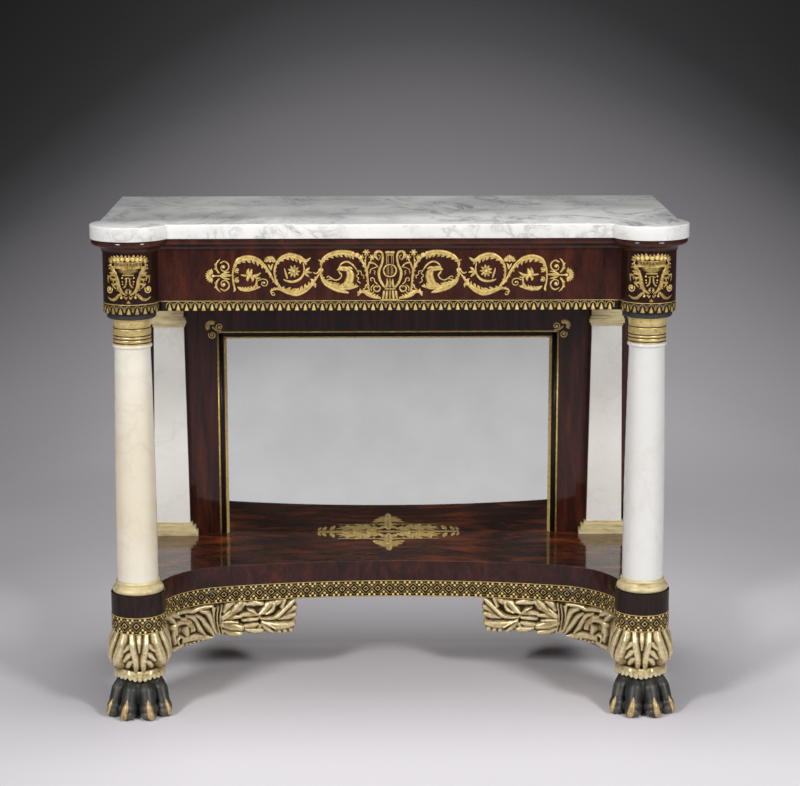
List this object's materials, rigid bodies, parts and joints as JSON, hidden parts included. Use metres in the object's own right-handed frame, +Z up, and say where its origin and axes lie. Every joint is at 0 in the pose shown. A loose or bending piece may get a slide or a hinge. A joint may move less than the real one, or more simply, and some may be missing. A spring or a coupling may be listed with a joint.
{
  "type": "pier table",
  "caption": "Pier table with a loose marble top on round turrets, marble columns, a swept shelf, a mirror back, and paw feet with gilded leaf knees.",
  "frame": {"origin": "on the floor, under the middle of the table's outline seen from above", "axes": "+Z up, the front faces -Y, +X to the right of someone facing the front"},
  "size_m": [1.078, 0.502, 0.914],
  "materials": {
    "white_marble": "polished white marble with grey veins",
    "alabaster": "polished cream alabaster with warm clouds",
    "mahogany_veneer": "french polished red-brown figured veneer",
    "pine": "bare planed softwood",
    "gilt": "water gilt carved wood, worn, with umber in the hollows",
    "ebonized": "black stained and varnished wood",
    "mirror": "silvered plate glass",
    "iron": "dark wrought iron"
  },
  "bodies": {
    "table": {"abacus_left": "ebonized", "abacus_right": "ebonized", "apron_back_rail": "pine", "apron_cross_brace": "pine", "apron_front_rail": "pine", "apron_front_veneer": "mahogany_veneer", "apron_glue_blocks": "pine", "apron_side_rail_left": "mahogany_veneer", "apron_side_rail_right": "mahogany_veneer", "back_stile_left": "mahogany_veneer", "back_stile_right": "mahogany_veneer", "back_top_rail": "mahogany_veneer", "backboard_screws": "iron", "base_drum_left": "mahogany_veneer", "base_drum_right": "mahogany_veneer", "capital_left": "gilt", "capital_right": "gilt", "column_base_left": "gilt", "column_base_right": "gilt", "column_left": "alabaster", "column_pins": "iron", "column_right": "white_marble", "cornice_front": "mahogany_veneer", "cornice_side_left": "mahogany_veneer", "cornice_side_right": "mahogany_veneer", "cornice_turret_left": "mahogany_veneer", "cornice_turret_right": "mahogany_veneer", "leaf_bracket_left": "gilt", "leaf_bracket_right": "gilt", "leaf_knee_left": "gilt", "leaf_knee_right": "gilt", "mirror_backboard": "pine", "mirror_fillet_left": "gilt", "mirror_fillet_right": "gilt", "mirror_fillet_top": "gilt", "mirror_plate": "mirror", "paw_claws_left": "gilt", "paw_claws_right": "gilt", "paw_foot_left": "ebonized", "paw_foot_right": "ebonized", "pilaster_base_left": "gilt", "pilaster_base_right": "gilt", "pilaster_capital_left": "gilt", "pilaster_capital_right": "gilt", "pilaster_left": "white_marble", "pilaster_right": "white_marble", "rear_foot_left": "ebonized", "rear_foot_right": "ebonized", "shelf_back_rail": "pine", "shelf_bearer": "pine", "shelf_board": "pine", "shelf_corner_blocks": "pine", "shelf_front_rail": "pine", "shelf_front_veneer": "mahogany_veneer", "shelf_side_rail_left": "mahogany_veneer", "shelf_side_rail_right": "mahogany_veneer", "shelf_veneer": "mahogany_veneer", "turret_drum_left": "mahogany_veneer", "turret_drum_right": "mahogany_veneer"},
    "slab": {"marble_top": "white_marble"}
  },
  "joints": [
    {"name": "marble_lift", "type": "slide", "parent": "table", "child": "slab", "axis": [0, 0, 1], "range_m": [0, 0.15]}
  ]
}
